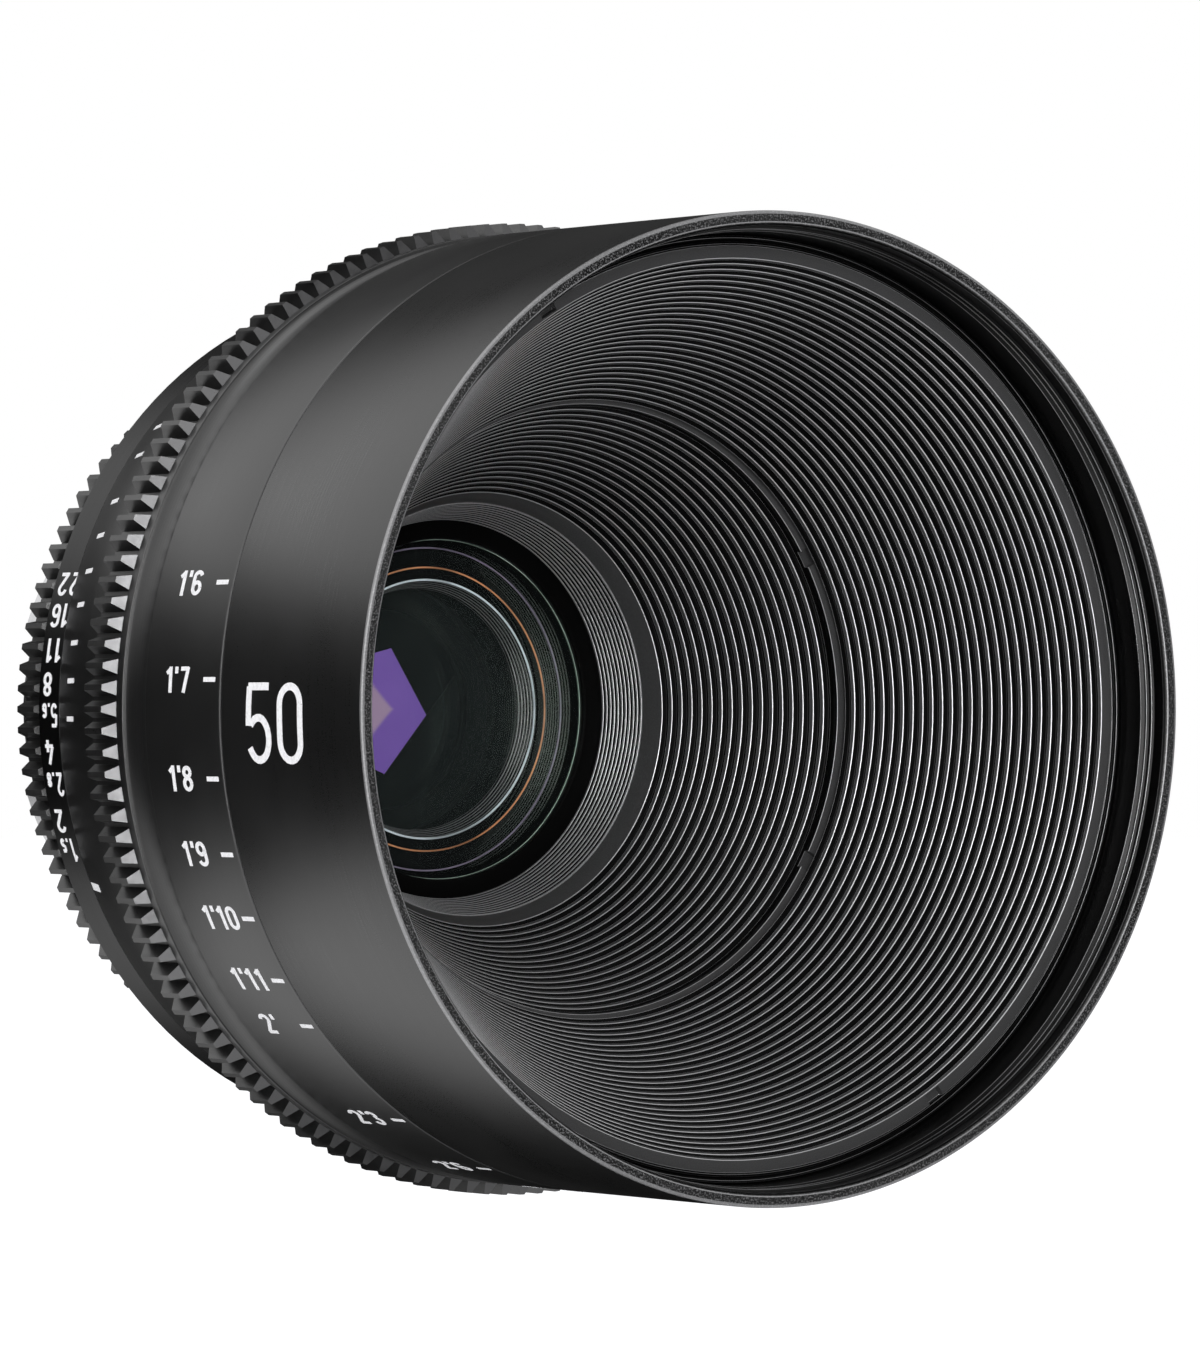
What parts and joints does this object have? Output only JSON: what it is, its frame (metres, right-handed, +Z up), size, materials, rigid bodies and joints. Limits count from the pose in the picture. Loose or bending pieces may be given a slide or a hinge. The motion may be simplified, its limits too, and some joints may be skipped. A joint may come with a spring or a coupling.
{
  "type": "cinema prime lens",
  "caption": "Cinema prime lens: tapered black barrel with geared focus and iris rings, ribbed light baffles, sliding glass group, leaf iris and tabbed camera mount.",
  "frame": {"origin": "centre of the camera mount's flange seat, on the lens axis", "axes": "+Y along the lens axis towards the camera, so the front looks to -Y; +Z up; +X to the right as seen from the front"},
  "size_m": [0.1168, 0.129, 0.1168],
  "materials": {
    "barrel_black": "satin black anodised",
    "gear_black": "machined, black anodised",
    "baffle_black": "matt black anodised",
    "mount_steel": "turned, satin",
    "screw_steel": "blackened",
    "follower_brass": "turned",
    "iris_black": "matt black",
    "coated_glass": "polished, coated"
  },
  "bodies": {
    "lens_body": {"front_barrel": "barrel_black", "front_baffle": "baffle_black", "main_barrel": "barrel_black", "barrel_screws": "screw_steel", "index_ring": "barrel_black", "rear_barrel": "barrel_black", "mount_shim": "mount_steel", "lens_mount": "mount_steel", "mount_screws": "screw_steel"},
    "focus_ring": {"focus_ring": "barrel_black", "focus_gear": "gear_black"},
    "focus_carriage": {"focus_carriage": "baffle_black", "cam_followers": "follower_brass", "inner_baffle": "baffle_black", "element_retainer": "baffle_black", "front_cell": "baffle_black", "doublet_retainer": "baffle_black", "iris_housing": "iris_black", "iris_cover": "iris_black", "rear_cell": "baffle_black", "front_spacer": "baffle_black", "rear_spacer": "baffle_black", "rear_retainer": "baffle_black", "front_element": "coated_glass", "second_element": "coated_glass", "third_element": "coated_glass", "fourth_element": "coated_glass", "fifth_element": "coated_glass", "sixth_element": "coated_glass", "rear_element": "coated_glass"},
    "iris_ring": {"iris_ring": "barrel_black", "iris_gear": "gear_black", "iris_drive_bar": "follower_brass", "iris_bar_screws": "screw_steel"},
    "iris_cam_ring": {"iris_cam_ring": "iris_black"},
    "iris_leaf_1": {"iris_leaf_1": "iris_black"},
    "iris_leaf_2": {"iris_leaf_2": "iris_black"},
    "iris_leaf_3": {"iris_leaf_3": "iris_black"},
    "iris_leaf_4": {"iris_leaf_4": "iris_black"},
    "iris_leaf_5": {"iris_leaf_5": "iris_black"}
  },
  "joints": [
    {"name": "focus_turn", "type": "hinge", "parent": "lens_body", "child": "focus_ring", "pos_m": [0, -0.075, 0], "axis": [0, -1, 0], "range_deg": [-165.3, 14.7]},
    {"name": "focus_slide", "type": "slide", "parent": "lens_body", "child": "focus_carriage", "axis": [0, -1, 0], "range_m": [-0.00656, 0.00059]},
    {"name": "iris_turn", "type": "hinge", "parent": "lens_body", "child": "iris_ring", "pos_m": [0, -0.035, 0], "axis": [0, -1, 0], "range_deg": [-19, 17]},
    {"name": "cam_ring_turn", "type": "hinge", "parent": "focus_carriage", "child": "iris_cam_ring", "pos_m": [0, -0.0299, 0], "axis": [0, -1, 0], "range_deg": [-19, 17]},
    {"name": "leaf_1_swing", "type": "hinge", "parent": "focus_carriage", "child": "iris_leaf_1", "pos_m": [0.02294, -0.0315, 0.01606], "axis": [0, -1, 0], "range_deg": [-13.9, 12.43]},
    {"name": "leaf_2_swing", "type": "hinge", "parent": "focus_carriage", "child": "iris_leaf_2", "pos_m": [-0.00819, -0.0315, 0.02678], "axis": [0, -1, 0], "range_deg": [-13.9, 12.43]},
    {"name": "leaf_3_swing", "type": "hinge", "parent": "focus_carriage", "child": "iris_leaf_3", "pos_m": [-0.028, -0.0315, 0.00049], "axis": [0, -1, 0], "range_deg": [-13.9, 12.43]},
    {"name": "leaf_4_swing", "type": "hinge", "parent": "focus_carriage", "child": "iris_leaf_4", "pos_m": [-0.00912, -0.0315, -0.02647], "axis": [0, -1, 0], "range_deg": [-13.9, 12.43]},
    {"name": "leaf_5_swing", "type": "hinge", "parent": "focus_carriage", "child": "iris_leaf_5", "pos_m": [0.02236, -0.0315, -0.01685], "axis": [0, -1, 0], "range_deg": [-13.9, 12.43]}
  ],
  "couplings": [
    {"joint": "focus_slide", "follows": "focus_turn", "m_per_rad": 0.0022727},
    {"joint": "cam_ring_turn", "follows": "iris_turn", "ratio": 1},
    {"joint": "leaf_1_swing", "follows": "iris_turn", "ratio": 0.73056},
    {"joint": "leaf_2_swing", "follows": "iris_turn", "ratio": 0.73056},
    {"joint": "leaf_3_swing", "follows": "iris_turn", "ratio": 0.73056},
    {"joint": "leaf_4_swing", "follows": "iris_turn", "ratio": 0.73056},
    {"joint": "leaf_5_swing", "follows": "iris_turn", "ratio": 0.73056}
  ]
}
